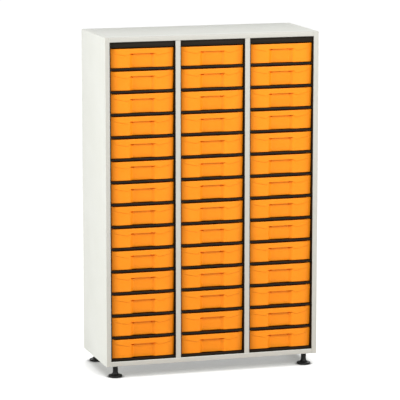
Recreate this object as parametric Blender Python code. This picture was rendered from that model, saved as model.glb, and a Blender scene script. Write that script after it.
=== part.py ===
"""School tray cabinet: a white board carcass with three bays, each lined with a black runner liner that
carries a column of orange pull-out trays between its cross rails, standing on four black levelling feet.

Units are metres, +Z is up and the front faces -Y. The origin is on the floor, under the middle of the carcass.
"""

import math

import bmesh
import bpy

# Carcass boards
BAY_COUNT = 3
BAY_NAMES = ("left", "middle", "right")
BAY_WIDTH = 0.320
BOARD = 0.025
CARCASS_DEPTH = 0.440
BACK_BOARD = 0.008
REBATE_WIDTH = 0.010
DOWEL_DIAMETER = 0.008
DOWEL_COVER = 0.013
DOWEL_INSET = 0.080
DOWEL_SIDES = 8

# Rows of trays
ROW_COUNT = 14
TRAY_HEIGHT = 0.092
TRAY_GAP = 0.0153
TOP_CLEARANCE = 0.0297
BOTTOM_CLEARANCE = 0.0114

# Runner liner of a bay
LINER_WALL = 0.0025
LINER_SETBACK = 0.001
LEDGE_REACH = 0.012
LEDGE_THICKNESS = 0.0025
LIP_REACH = 0.008
LIP_THICKNESS = 0.002
LIP_CLEARANCE = 0.0008
RUNNER_START_GAP = 0.002
TOP_RAIL_SETBACK = 0.006
CROSS_RAIL_INSET = 0.003
RAIL_DEPTH = 0.008
RAIL_OVER_RIM = 0.0045
RAIL_UNDER_BASE = 0.002

# Tray
TRAY_SETBACK = 0.005
TRAY_REAR_GAP = 0.012
TRAY_WALL = 0.0025
FRONT_SIDE_GAP = 0.0045
FRONT_CORNER = 0.016
FRONT_RETURN = 0.030
FRONT_LEAN = 0.007
FRONT_TAPER = 0.001
PULL_BAND = 0.0245
RECESS_WIDTH = 0.112
RECESS_DEPTH = 0.014
RECESS_LEAN = 0.0025
FLANGE_THICKNESS = 0.004
FLANGE_CLEARANCE = 0.0012
REAR_FLANGE = 0.006
BODY_CLEARANCE = 0.0012
BODY_TAPER = 0.004
REAR_CORNER = 0.012

# Levelling foot
FOOT_HEIGHT = 0.058
FOOT_BASE_DIAMETER = 0.067
FOOT_EDGE = 0.010
FOOT_EDGE_CHAMFER = 0.002
FOOT_FLARE_TOP = 0.026
FOOT_STEM_DIAMETER = 0.025
FOOT_SIDE_INSET = 0.053
FOOT_FRONT_INSET = 0.040
FOOT_SIDES = 16
FLARE_STEPS = 4
STUD_DIAMETER = 0.010
STUD_IN_FOOT = 0.025
STUD_COVER = 0.007
STUD_SIDES = 12

# Clearance of faces that touch on the real cabinet, and how far a cutter runs past what it cuts
FIT_GAP = 0.0003
CUT_OVERRUN = 0.002

# Worked out from the sizes above
CARCASS_WIDTH = BAY_COUNT * BAY_WIDTH + (BAY_COUNT + 1) * BOARD
BAY_HEIGHT = TOP_CLEARANCE + ROW_COUNT * TRAY_HEIGHT + (ROW_COUNT - 1) * TRAY_GAP + BOTTOM_CLEARANCE
CARCASS_HEIGHT = BAY_HEIGHT + 2 * BOARD
ROW_PITCH = TRAY_HEIGHT + TRAY_GAP
BAY_PITCH = BAY_WIDTH + BOARD
FRONT_Y = -CARCASS_DEPTH / 2
REAR_Y = CARCASS_DEPTH / 2
BACK_FACE_Y = REAR_Y - BACK_BOARD - FIT_GAP
BOTTOM_Z = FOOT_HEIGHT
BAY_FLOOR_Z = BOTTOM_Z + BOARD
BAY_ROOF_Z = BAY_FLOOR_Z + BAY_HEIGHT
TOP_Z = BOTTOM_Z + CARCASS_HEIGHT
INNER_HALF = CARCASS_WIDTH / 2 - BOARD
TRAY_FRONT_Y = FRONT_Y + TRAY_SETBACK
TOP_TRAY_Z = BAY_ROOF_Z - TOP_CLEARANCE
LINER_HALF = BAY_WIDTH / 2 - FIT_GAP
LINER_INNER_HALF = LINER_HALF - LINER_WALL
LINER_FRONT_Y = FRONT_Y + LINER_SETBACK
LINER_REAR_Y = BACK_FACE_Y - FIT_GAP
RUNNER_START_Y = TRAY_FRONT_Y + FRONT_RETURN + RUNNER_START_GAP
FLANGE_HALF = LINER_INNER_HALF - FLANGE_CLEARANCE
BODY_HALF = LINER_INNER_HALF - LEDGE_REACH - BODY_CLEARANCE
FRONT_HALF = BAY_WIDTH / 2 - FRONT_SIDE_GAP
TRAY_DEPTH = LINER_REAR_Y - TRAY_REAR_GAP - TRAY_FRONT_Y
TRAY_BODY_REAR = TRAY_DEPTH - REAR_FLANGE
STUD_IN_BOARD = BOARD - STUD_COVER
DOWEL_REACH = BOARD - DOWEL_COVER


def clear_scene():
    for obj in list(bpy.data.objects):
        bpy.data.objects.remove(obj, do_unlink=True)


def linear(channel):
    """An sRGB channel from 0 to 255 as a linear value."""
    value = channel / 255
    return value / 12.92 if value <= 0.04045 else ((value + 0.055) / 1.055) ** 2.4


def make_material(name, rgb, roughness, metallic=0.0):
    material = bpy.data.materials.new(name)
    material.use_nodes = True
    shader = material.node_tree.nodes["Principled BSDF"]
    shader.inputs["Base Color"].default_value = (*(linear(channel) for channel in rgb), 1.0)
    shader.inputs["Roughness"].default_value = roughness
    shader.inputs["Metallic"].default_value = metallic
    return material


def add_object(name, mesh, material=None, location=(0, 0, 0), parent=None):
    obj = bpy.data.objects.new(name, mesh)
    bpy.context.scene.collection.objects.link(obj)
    obj.location = location
    obj.parent = parent
    if material and not mesh.materials:
        mesh.materials.append(material)
    return obj


def finish_mesh(bm, name):
    bmesh.ops.recalc_face_normals(bm, faces=bm.faces)
    mesh = bpy.data.meshes.new(name)
    bm.to_mesh(mesh)
    bm.free()
    return mesh


def add_box(bm, low, high):
    """A box from its lowest to its highest corner."""
    made = bmesh.ops.create_cube(bm, size=1.0)
    for vert in made["verts"]:
        for axis in range(3):
            vert.co[axis] = high[axis] if vert.co[axis] > 0 else low[axis]


def box_mesh(name, low, high):
    bm = bmesh.new()
    add_box(bm, low, high)
    return finish_mesh(bm, name)


def add_rod(bm, start, end, diameter, sides):
    """A closed prism of that many sides along X or Z, from start to end."""
    along = 0 if start[0] != end[0] else 2
    rings = []
    for point in (start, end):
        ring = []
        for step in range(sides):
            angle = 2 * math.pi * (step + 0.5) / sides
            across = (math.cos(angle) * diameter / 2, math.sin(angle) * diameter / 2)
            offset = (0, *across) if along == 0 else (*across, 0)
            ring.append(bm.verts.new([p + o for p, o in zip(point, offset)]))
        rings.append(ring)
    bridge(bm, *rings)
    bm.faces.new(rings[0])
    bm.faces.new(rings[1])


def bridge(bm, lower, upper, closed=True):
    """Quads between two rings of vertices with the same count."""
    count = len(lower)
    for i in range(count if closed else count - 1):
        j = (i + 1) % count
        bm.faces.new((lower[i], lower[j], upper[j], upper[i]))


def hide_helper(obj):
    obj.hide_render = True
    obj.display_type = "WIRE"
    return obj


def boolean(obj, tool, operation):
    modifier = obj.modifiers.new(operation.lower() + "_" + tool.name, "BOOLEAN")
    modifier.operation = operation
    modifier.object = tool
    modifier.solver = "EXACT"


def evaluated_mesh(obj, name):
    """The object's shape with its modifiers, as a plain mesh."""
    bpy.context.view_layer.update()
    graph = bpy.context.evaluated_depsgraph_get()
    mesh = bpy.data.meshes.new_from_object(obj.evaluated_get(graph))
    mesh.name = name
    return mesh


def bay_centre(bay):
    return (bay - (BAY_COUNT - 1) / 2) * BAY_PITCH


def divider_centres():
    return [bay_centre(bay) + BAY_PITCH / 2 for bay in range(BAY_COUNT - 1)]


def dowel_rows():
    return (FRONT_Y + DOWEL_INSET, REAR_Y - DOWEL_INSET)


def foot_places():
    """(name, x, y) of each levelling foot."""
    x = CARCASS_WIDTH / 2 - FOOT_SIDE_INSET
    y = CARCASS_DEPTH / 2 - FOOT_FRONT_INSET
    return (
        ("front_left", -x, -y),
        ("front_right", x, -y),
        ("rear_left", -x, y),
        ("rear_right", x, y),
    )


# Carcass: two full-height sides, top and bottom between them, dividers between top and bottom, a back let into
# a rebate. The dowels glued into the ends of one board run into blind holes in the next.


def dowel_holes(name, rods):
    """A cutter with one hole for each rod, given as (start, end) of the dowel."""
    bm = bmesh.new()
    for start, end in rods:
        along = [e - s for s, e in zip(start, end)]
        length = math.dist(start, end)
        deeper = [e + a * FIT_GAP / length for e, a in zip(end, along)]
        before = [s - a * CUT_OVERRUN / length for s, a in zip(start, along)]
        add_rod(bm, before, deeper, DOWEL_DIAMETER + 2 * FIT_GAP, DOWEL_SIDES)
    return hide_helper(add_object(name, finish_mesh(bm, name)))


def dowel_tool(name, rods):
    """The dowels themselves, started inside the board that they are glued into."""
    bm = bmesh.new()
    for start, end in rods:
        along = [e - s for s, e in zip(start, end)]
        length = math.dist(start, end)
        rooted = [s - a * DOWEL_REACH / length for s, a in zip(start, along)]
        add_rod(bm, rooted, end, DOWEL_DIAMETER, DOWEL_SIDES)
    return hide_helper(add_object(name, finish_mesh(bm, name)))


def end_dowels(z, side):
    """Dowels from the end of the top or bottom board into the side board on the left, -1, or the right, 1."""
    board_end = side * (INNER_HALF - FIT_GAP)
    tip = side * (INNER_HALF + DOWEL_REACH)
    return [((board_end, y, z), (tip, y, z)) for y in dowel_rows()]


def divider_dowels(x, up):
    """Dowels from the end of a divider into the top board, up 1, or the bottom board, up -1."""
    face_z = BAY_ROOF_Z if up > 0 else BAY_FLOOR_Z
    board_end = face_z - up * FIT_GAP
    tip = face_z + up * DOWEL_REACH
    return [((x, y, board_end), (x, y, tip)) for y in dowel_rows()]


def back_board(material):
    gap = FIT_GAP
    half = INNER_HALF + REBATE_WIDTH - gap
    low = (-half, REAR_Y - BACK_BOARD, BAY_FLOOR_Z - REBATE_WIDTH + gap)
    high = (half, REAR_Y, BAY_ROOF_Z + REBATE_WIDTH - gap)
    add_object("back_panel", box_mesh("back_panel", low, high), material)
    low = (-half - gap, BACK_FACE_Y, low[2] - gap)
    high = (half + gap, REAR_Y + CUT_OVERRUN, high[2] + gap)
    return hide_helper(add_object("back_rebate", box_mesh("back_rebate", low, high)))


def side_boards(material, rebate):
    for name, side in (("left_side_panel", -1), ("right_side_panel", 1)):
        edges = sorted((side * INNER_HALF, side * CARCASS_WIDTH / 2))
        low = (edges[0], FRONT_Y, BOTTOM_Z)
        high = (edges[1], REAR_Y, TOP_Z)
        board = add_object(name, box_mesh(name, low, high), material)
        rods = end_dowels(BOTTOM_Z + BOARD / 2, side) + end_dowels(TOP_Z - BOARD / 2, side)
        boolean(board, dowel_holes(name + "_dowel_holes", rods), "DIFFERENCE")
        boolean(board, rebate, "DIFFERENCE")


def top_and_bottom(material, rebate):
    half = INNER_HALF - FIT_GAP
    for name, low_z, up in (("top_panel", TOP_Z - BOARD, 1), ("bottom_panel", BOTTOM_Z, -1)):
        low = (-half, FRONT_Y, low_z)
        high = (half, REAR_Y, low_z + BOARD)
        board = add_object(name, box_mesh(name, low, high), material)
        holes = [rod for x in divider_centres() for rod in divider_dowels(x, up)]
        boolean(board, dowel_holes(name + "_dowel_holes", holes), "DIFFERENCE")
        boolean(board, rebate, "DIFFERENCE")
        if up < 0:
            boolean(board, stud_holes(), "DIFFERENCE")
        dowels = end_dowels(low_z + BOARD / 2, -1) + end_dowels(low_z + BOARD / 2, 1)
        boolean(board, dowel_tool(name + "_dowels", dowels), "UNION")


def dividers(material):
    for name, x in zip(("left_divider", "right_divider"), divider_centres()):
        low = (x - BOARD / 2, FRONT_Y, BAY_FLOOR_Z + FIT_GAP)
        high = (x + BOARD / 2, BACK_FACE_Y - FIT_GAP, BAY_ROOF_Z - FIT_GAP)
        board = add_object(name, box_mesh(name, low, high), material)
        dowels = divider_dowels(x, 1) + divider_dowels(x, -1)
        boolean(board, dowel_tool(name + "_dowels", dowels), "UNION")


def stud_holes():
    bm = bmesh.new()
    for _, x, y in foot_places():
        start = (x, y, BOTTOM_Z - CUT_OVERRUN)
        end = (x, y, BOTTOM_Z + STUD_IN_BOARD + FIT_GAP)
        add_rod(bm, start, end, STUD_DIAMETER + 2 * FIT_GAP, STUD_SIDES)
    return hide_helper(add_object("stud_holes", finish_mesh(bm, "stud_holes")))


# Runner liner: a moulded sleeve that lines the bay, with a channel on each side for the flanges of every tray
# and a rail across the front in each gap between trays, deeper above the top one. Its own frame has the bay's
# middle at x = 0.


def row_top(row):
    """Height of the rim of the tray in that row, counted down from 0."""
    return TOP_TRAY_Z - row * ROW_PITCH


def runner_outline():
    """Points (x, z) round the free space inside the liner, with the runner channels standing into it."""
    right = [(LINER_INNER_HALF, BAY_FLOOR_Z + FIT_GAP + LINER_WALL)]
    for row in reversed(range(ROW_COUNT)):
        ledge_top = row_top(row) - FLANGE_THICKNESS - FIT_GAP
        lip_base = row_top(row) + LIP_CLEARANCE
        shelves = (
            (ledge_top - LEDGE_THICKNESS, ledge_top, LEDGE_REACH),
            (lip_base, lip_base + LIP_THICKNESS, LIP_REACH),
        )
        for low_z, high_z, reach in shelves:
            tip = LINER_INNER_HALF - reach
            right += [(LINER_INNER_HALF, low_z), (tip, low_z), (tip, high_z), (LINER_INNER_HALF, high_z)]
    right.append((LINER_INNER_HALF, BAY_ROOF_Z - FIT_GAP - LINER_WALL))
    left = [(-x, z) for x, z in reversed(right)]
    return right + left


def liner_void():
    """The space inside the liner: plain at the tray fronts, and shaped by the channels behind them."""
    bm = bmesh.new()
    low = (-LINER_INNER_HALF, LINER_FRONT_Y - CUT_OVERRUN, BAY_FLOOR_Z + FIT_GAP + LINER_WALL)
    high = (LINER_INNER_HALF, RUNNER_START_Y, BAY_ROOF_Z - FIT_GAP - LINER_WALL)
    add_box(bm, low, high)
    front = hide_helper(add_object("liner_front_void", finish_mesh(bm, "liner_front_void")))

    bm = bmesh.new()
    rings = []
    for y in (RUNNER_START_Y - CUT_OVERRUN, LINER_REAR_Y + CUT_OVERRUN):
        rings.append([bm.verts.new((x, y, z)) for x, z in runner_outline()])
    bridge(bm, *rings)
    for ring in rings:
        bm.faces.new(ring)
    channels = hide_helper(add_object("liner_channel_void", finish_mesh(bm, "liner_channel_void")))
    return front, channels


def liner_rails():
    """The rails across the front of the liner, rooted in its sides, roof and floor."""
    bm = bmesh.new()
    root = LINER_WALL / 2
    half = LINER_INNER_HALF + root
    floor_z = BAY_FLOOR_Z + FIT_GAP + root
    roof_z = BAY_ROOF_Z - FIT_GAP - root
    top_y = LINER_FRONT_Y + TOP_RAIL_SETBACK
    add_box(bm, (-half, top_y, TOP_TRAY_Z + RAIL_OVER_RIM), (half, top_y + RAIL_DEPTH, roof_z))
    cross_y = TRAY_FRONT_Y + CROSS_RAIL_INSET
    for row in range(ROW_COUNT):
        last = row == ROW_COUNT - 1
        low_z = floor_z if last else row_top(row + 1) + RAIL_OVER_RIM
        high_z = row_top(row) - TRAY_HEIGHT - RAIL_UNDER_BASE
        add_box(bm, (-half, cross_y, low_z), (half, cross_y + RAIL_DEPTH, high_z))
    return hide_helper(add_object("liner_rails", finish_mesh(bm, "liner_rails")))


def runner_liners(material):
    low = (-LINER_HALF, LINER_FRONT_Y, BAY_FLOOR_Z + FIT_GAP)
    high = (LINER_HALF, LINER_REAR_Y, BAY_ROOF_Z - FIT_GAP)
    pattern = add_object("liner_pattern", box_mesh("liner_pattern", low, high), material)
    tools = [*liner_void(), liner_rails()]
    for tool, operation in zip(tools, ("DIFFERENCE", "DIFFERENCE", "UNION")):
        boolean(pattern, tool, operation)
    mesh = evaluated_mesh(pattern, "runner_liner")
    for helper in (pattern, *tools):
        bpy.data.objects.remove(helper, do_unlink=True)
    for bay, bay_name in enumerate(BAY_NAMES):
        add_object(bay_name + "_runner_liner", mesh, location=(bay_centre(bay), 0, 0))


# Tray: one thin-walled moulding. Its own frame has the middle of the front's top edge at the origin, the rim at
# z = 0 and the tray running back along +Y.


def both_sides(points):
    """A ring from its right-hand half, (x, y) from front to rear, and the mirror of it."""
    return points + [(-x, y) for x, y in reversed(points)]


def front_y(z):
    """Where the leaning front face stands at that height."""
    return -z / TRAY_HEIGHT * FRONT_LEAN


def tray_half(z, inset):
    """Right-hand half of the tray's plan at height z, front to rear, moved in from the outer face by inset.

    It starts at the inner corner of the label recess and follows the recess, the front with its rounded corner,
    the return behind the front, and the side and rear of the body."""
    share = -z / TRAY_HEIGHT
    front_half = FRONT_HALF - share * FRONT_TAPER - inset
    body_half = BODY_HALF - share * BODY_TAPER - inset
    front = front_y(z) + inset
    recess = RECESS_DEPTH + share * RECESS_LEAN + inset
    recess_half = RECESS_WIDTH / 2 + inset
    back_of_front = FRONT_RETURN - inset
    rear = TRAY_BODY_REAR - share * BODY_TAPER - inset
    mitre = inset * (2 - math.sqrt(2))
    corner = FRONT_CORNER - mitre
    rear_corner = REAR_CORNER - mitre
    return [
        (recess_half, recess),
        (recess_half, front),
        (front_half - corner, front),
        (front_half, front + corner),
        (front_half, back_of_front),
        (body_half, back_of_front),
        (body_half, rear - rear_corner),
        (body_half - rear_corner, rear),
    ]


def flange_half():
    """Right-hand half of the flange's outer edge, from the front's return to the rear."""
    return [
        (FLANGE_HALF, FRONT_RETURN),
        (FLANGE_HALF, TRAY_DEPTH - REAR_CORNER),
        (FLANGE_HALF - REAR_CORNER, TRAY_DEPTH),
    ]


def add_ring(bm, points, z):
    return [bm.verts.new((x, y, z)) for x, y in points]


def tray_mesh():
    bm = bmesh.new()
    recess_points = 1
    front_points = 5

    # Outside, from the base up to the pull band, where the recess ends under its roof
    base = add_ring(bm, both_sides(tray_half(-TRAY_HEIGHT, 0)), -TRAY_HEIGHT)
    band = add_ring(bm, both_sides(tray_half(-PULL_BAND, 0)), -PULL_BAND)
    bridge(bm, base, band)
    bm.faces.new(base)
    bm.faces.new((band[0], band[recess_points], band[-1 - recess_points], band[-1]))

    # Outside of the pull band, up to the underside of the flange
    band_outer = band[recess_points:-recess_points]
    under = add_ring(bm, both_sides(tray_half(-FLANGE_THICKNESS, 0)[recess_points:]), -FLANGE_THICKNESS)
    bridge(bm, band_outer, under)

    # Rim: the front runs straight up, the sides and rear step out to the flange
    fronts = front_points - recess_points
    flange_low = add_ring(bm, both_sides(flange_half()), -FLANGE_THICKNESS)
    rim_plan = tray_half(0, 0)[recess_points:front_points] + flange_half()
    rim = add_ring(bm, both_sides(rim_plan), 0)
    flange_count = len(flange_half())
    lower_right = under[:fronts] + flange_low[:flange_count]
    lower_left = flange_low[flange_count:] + under[-fronts:]
    bridge(bm, lower_right + lower_left, rim)

    # Underside of the flange, between the body and the flange's edge
    half = len(under) // 2
    for body, front_corner, edge in (
        (under[fronts:half], under[fronts - 1], flange_low[:flange_count]),
        (under[half:-fronts][::-1], under[-fronts], flange_low[flange_count:][::-1]),
    ):
        bm.faces.new((front_corner, body[0], body[1], edge[1], edge[0]))
        bm.faces.new((body[1], body[2], edge[2], edge[1]))
    bm.faces.new((under[half - 1], under[half], flange_low[flange_count], flange_low[flange_count - 1]))

    # Inside: the rim's top, down past the recess roof to the floor
    wall = TRAY_WALL
    roof_z = wall - PULL_BAND
    floor_z = wall - TRAY_HEIGHT
    mouth = add_ring(bm, both_sides(tray_half(0, wall)[recess_points:]), 0)
    roof = add_ring(bm, both_sides(tray_half(roof_z, wall)), roof_z)
    floor = add_ring(bm, both_sides(tray_half(floor_z, wall)), floor_z)
    bridge(bm, rim, mouth)
    bridge(bm, mouth, roof[recess_points:-recess_points])
    bm.faces.new((roof[0], roof[recess_points], roof[-1 - recess_points], roof[-1]))
    bridge(bm, roof, floor)
    bm.faces.new(floor)
    return finish_mesh(bm, "tray")


def trays(material):
    mesh = tray_mesh()
    mesh.materials.append(material)
    for bay, bay_name in enumerate(BAY_NAMES):
        column = bpy.data.objects.new(bay_name + "_tray_column", None)
        bpy.context.scene.collection.objects.link(column)
        column.location = (bay_centre(bay), TRAY_FRONT_Y, TOP_TRAY_Z)
        for row in range(ROW_COUNT):
            name = f"tray_{bay_name}_{row + 1:02d}"
            add_object(name, mesh, location=(0, 0, -row * ROW_PITCH), parent=column)


# Levelling foot: a turned base with a flared neck, and a steel stud that screws up into the bottom board.


def foot_profile():
    """Points (radius, z) down the outer side of the foot, from its top to its underside."""
    stem = FOOT_STEM_DIAMETER / 2
    base = FOOT_BASE_DIAMETER / 2
    points = [(stem, FOOT_HEIGHT - FIT_GAP)]
    for step in range(FLARE_STEPS + 1):
        angle = math.pi / 2 * step / FLARE_STEPS
        radius = stem + (base - stem) * (1 - math.cos(angle))
        height = FOOT_FLARE_TOP - (FOOT_FLARE_TOP - FOOT_EDGE) * math.sin(angle)
        points.append((radius, height))
    points += [(base, FOOT_EDGE_CHAMFER), (base - FOOT_EDGE_CHAMFER, 0)]
    return points


def foot_mesh():
    """The turned foot, with a blind hole in its top for the stud."""
    bm = bmesh.new()
    hole = STUD_DIAMETER / 2 + FIT_GAP
    hole_floor = FOOT_HEIGHT - FIT_GAP - STUD_IN_FOOT
    profile = [(hole, hole_floor), (hole, FOOT_HEIGHT - FIT_GAP), *foot_profile()]
    rings = []
    for radius, z in profile:
        angles = (2 * math.pi * step / FOOT_SIDES for step in range(FOOT_SIDES))
        rings.append([bm.verts.new((radius * math.cos(a), radius * math.sin(a), z)) for a in angles])
    for lower, upper in zip(rings, rings[1:]):
        bridge(bm, lower, upper)
    bm.faces.new(rings[0])
    bm.faces.new(rings[-1])
    mesh = finish_mesh(bm, "foot")
    mesh.shade_smooth()
    mesh.set_sharp_from_angle(angle=math.radians(40))
    return mesh


def stud_mesh():
    bm = bmesh.new()
    start = (0, 0, FOOT_HEIGHT - STUD_IN_FOOT)
    end = (0, 0, BOTTOM_Z + STUD_IN_BOARD)
    add_rod(bm, start, end, STUD_DIAMETER, STUD_SIDES)
    return finish_mesh(bm, "foot_stud")


def feet(foot_material, stud_material):
    foot, stud = foot_mesh(), stud_mesh()
    for name, x, y in foot_places():
        add_object(f"foot_{name}", foot, foot_material, location=(x, y, 0))
        add_object(f"foot_{name}_stud", stud, stud_material, location=(x, y, 0))


def main():
    clear_scene()
    white_board = make_material("white_melamine_board", (240, 241, 234), 0.45)
    black_liner = make_material("black_moulded_liner", (34, 34, 33), 0.55)
    orange_tray = make_material("orange_moulded_tray", (255, 163, 40), 0.4)
    black_foot = make_material("black_moulded_foot", (32, 32, 31), 0.5)
    zinc_stud = make_material("zinc_plated_stud", (176, 178, 182), 0.35, 1.0)

    rebate = back_board(white_board)
    side_boards(white_board, rebate)
    top_and_bottom(white_board, rebate)
    dividers(white_board)
    runner_liners(black_liner)
    trays(orange_tray)
    feet(black_foot, zinc_stud)


main()
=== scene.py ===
"""Looks of the tray storage cabinet: melamine boards, orange polypropylene trays, black ABS runner liners and black
nylon feet.

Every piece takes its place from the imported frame. Lengths are in metres, +Z is up and the front faces -Y.
"""

import math

import bmesh
import bpy
import numpy as np
from mathutils import Matrix, Vector


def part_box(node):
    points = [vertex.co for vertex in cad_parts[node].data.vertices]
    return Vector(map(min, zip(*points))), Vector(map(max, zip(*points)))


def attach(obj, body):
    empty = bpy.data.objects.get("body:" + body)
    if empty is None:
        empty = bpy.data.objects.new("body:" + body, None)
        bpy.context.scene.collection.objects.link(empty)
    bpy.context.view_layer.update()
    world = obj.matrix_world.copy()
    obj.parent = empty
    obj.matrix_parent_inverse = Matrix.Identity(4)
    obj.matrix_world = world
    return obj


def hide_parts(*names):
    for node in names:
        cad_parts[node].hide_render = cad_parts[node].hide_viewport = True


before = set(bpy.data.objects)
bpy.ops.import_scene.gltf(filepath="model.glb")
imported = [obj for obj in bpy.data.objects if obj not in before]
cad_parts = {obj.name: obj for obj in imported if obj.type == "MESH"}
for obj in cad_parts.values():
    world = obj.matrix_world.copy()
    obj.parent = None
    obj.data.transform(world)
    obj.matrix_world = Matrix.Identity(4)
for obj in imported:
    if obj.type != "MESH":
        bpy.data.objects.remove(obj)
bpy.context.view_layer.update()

MM = 0.001
BAYS = ("left", "middle", "right")
ROWS = 14
FOOT_PLACES = ("front_left", "front_right", "rear_left", "rear_right")

# Points of a mesh that lie closer than this are one. Edges that turn by more degrees than these stay sharp.
MERGE_GAP = 0.01 * MM
BOXED_SHARP = 40
TURNED_SHARP = 35

# Camera, from a fit to the photograph's corners and edges
VIEW_AZIMUTH = math.radians(-16.885)
VIEW_ELEVATION = math.radians(9.553)
VIEW_DISTANCE = 12.861
VIEW_TARGET = Vector((0.0374, 0.1167, 0.7861))
VIEW_LENS = 235.7
VIEW_SENSOR = 36
VIEW_FAR = 200

# Soft boxes: name, place, the point it is aimed at, width, height and power. The rear one stands low, so that it
# lights the back and not the top.
SOFT_BOXES = (
    ("front_soft_box", (1.3, -3.85, 3.25), (0, -0.2, 0.9), 1.6, 2.0, 157),
    ("left_soft_box", (-4.3, -1.2, 2.4), (-0.53, 0, 0.9), 1.6, 2.0, 100),
    ("rear_soft_box", (1.2, 3.8, 1.2), (0, 0.2, 0.85), 1.8, 0.8, 50),
)
ROOM_LIGHT = 0.42
WHITE_LIGHT = 1.0

# Floor. Its glow goes by how open a spot is within SHADOW_REACH, in pairs of share open and glow: a painted shadow.
# Spots less than fully open within TOUCH_REACH are darker still, down to TOUCH_GLOW of that where TOUCH_OPEN or less
# is open, and their paint is greyer: a painted contact shadow.
FLOOR_HALF = 60
SHADOW_REACH = 260 * MM
SHADOW_GLOW = ((0.06, 0.375), (0.13, 0.25), (0.2, 0.125), (0.27, 0.12), (0.55, 0.45), (0.68, 0.8))
TOUCH_REACH = 45 * MM
TOUCH_OPEN = 0.78
TOUCH_GLOW = 0.3
OPEN_SAMPLES = 16

# Pattern sizes. Grains and lines are 0.2 to 0.4 mm wide in life, and drawn coarser here so that they show.
PEARL_GRAIN = 1.4 * MM
FACING_CLOUD = 200 * MM
EDGING_LINE = 1 * MM
EDGING_LINE_RUN = 125 * MM
TRAY_GRAIN = 1 * MM
TRAY_FLOW = 110 * MM
BLACK_GRAIN = 1.1 * MM
ZINC_CLOUD = 2.5 * MM
GRAIN_HEIGHT = 0.4 * MM
# The span in which most values of a noise lie
NOISE_SPAN = (0.3, 0.7)

# Boards. EDGE_RADIUS is the rounding of the front edges with its steps, ARRIS_RADIUS that of the rear ones.
EDGE_RADIUS, EDGE_STEPS = 2.5 * MM, 6
ARRIS_RADIUS, ARRIS_STEPS = 0.5 * MM, 2
BOARD_GAP = 0.3 * MM
REBATE_GAP = 0.4 * MM
# How much of a board the liner covers inside
BOARD_SLIMMING = 2 * MM
# On these boards the facing's lighter white runs on over the rounding as a painted highlight, and the edging begins
# this close to the front.
PAINTED_HIGHLIGHT_ROUNDINGS = ("left_side_panel", "bottom_panel")
EDGING_SHOWN = 0.4 * MM

# Pan-head screws of the back panel. Those down the dividers stop at SCREW_END of the height, next to the border's.
SCREW_RADIUS = 3.5 * MM
SCREW_HEIGHT = 1.6 * MM
SCREW_INSET = 5 * MM
SCREW_SPACING = 150 * MM
SCREW_END = 0.47
SCREW_STEPS = 16

# Tray moulding. Its own frame has the middle of the front's top edge at the origin, with +Y to the rear.
tray_low, tray_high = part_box("tray_left_01")
TRAY_HEIGHT = tray_high.z - tray_low.z
TRAY_DEPTH = tray_high.y - tray_low.y
TRAY_WALL = 2.5 * MM
# The foot of the front lies TRAY_LEAN behind its top, and its ends FRONT_BOW behind its middle. A corner's NEAR is how
# close the middle of its rounding comes to where the corner would be sharp.
TRAY_LEAN = 4.8 * MM
FRONT_BOW = 1.6 * MM
FRONT_HALF = 156.5 * MM
FRONT_TAPER = 1 * MM
FRONT_RETURN = 31 * MM
RETURN_RADIUS, RETURN_NEAR = 1.2 * MM, 0.42 * MM
# Ends of the front: a wide sweep that turns by so many degrees, then a small corner
FRONT_SWEEP = 88 * MM
FRONT_SWEEP_TURN = 27
FRONT_SWEEP_BLEND = 3
FRONT_CORNER = 5.5 * MM
SWEEP_POINTS = 10
# Body behind the front, with its flange
BODY_HALF = 144 * MM
BODY_TAPER = 4 * MM
REAR_RADIUS = 14 * MM
FLANGE_HALF = (tray_high.x - tray_low.x) / 2
FLANGE_THICKNESS = 4 * MM
FLANGE_CORNER, FLANGE_CORNER_NEAR = 1.6 * MM, 0.5 * MM
FLANGE_NOSE = 0.4 * MM
REAR_FLANGE = 6 * MM
# Label recess, with the half-widths of its floor and its mouth, and the slots at its ends for a card
RECESS_FOOT = 43 * MM
RECESS_LIP = 65 * MM
RECESS_TOP = -24.5 * MM
RECESS_DEPTH = 13.5 * MM
RECESS_LEAN = 2.5 * MM
RECESS_BOW = 1.2 * MM
SLOT_SPAN = (42 * MM, 57 * MM)
SLOT_FOOT = -31 * MM
SLOT_DEPTH = 6 * MM
SLOT_EDGE = 1 * MM
# Brow, the lower edge of the pull band
BROW_STEP = 2.8 * MM
BROW_EDGE = 0.6 * MM
BROW_DIP = 10.1 * MM
BROW_DIP_SPAN = (57.5 * MM, 77 * MM)
BROW_RISE_SPAN = (81 * MM, 144 * MM)
BROW_RISE_SLOPE = 0.217
BROW_FADE_SPAN = (148 * MM, 120 * MM)
# Roundings
RIM_RADIUS = 2.0 * MM
INNER_RIM = 0.6 * MM
FRONT_BASE_RADIUS = 1.5 * MM
BODY_BASE_RADIUS = 4 * MM
FLOOR_FILLET = 5 * MM
FRONT_FILLET_SHARE = 0.3
# The front's rim lies a little under the tray's top and its foot a little over the tray's base. Spans are the depths
# and heights over which that comes in.
FRONT_RIM_DROP = 0.8 * MM
RIM_DROP_DEPTHS = (34 * MM, 24 * MM)
RIM_DROP_HEIGHTS = (-22 * MM, 0)
FRONT_BASE_RISE = 0.8 * MM
BASE_RISE_DEPTHS = (16 * MM, 10 * MM)
BASE_RISE_HEIGHTS = (-78 * MM, -TRAY_HEIGHT)
# Painted shade: the front's colour darkens across this span towards its ends
PAINTED_END_SHADE_SPAN = (110 * MM, 156 * MM)

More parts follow.
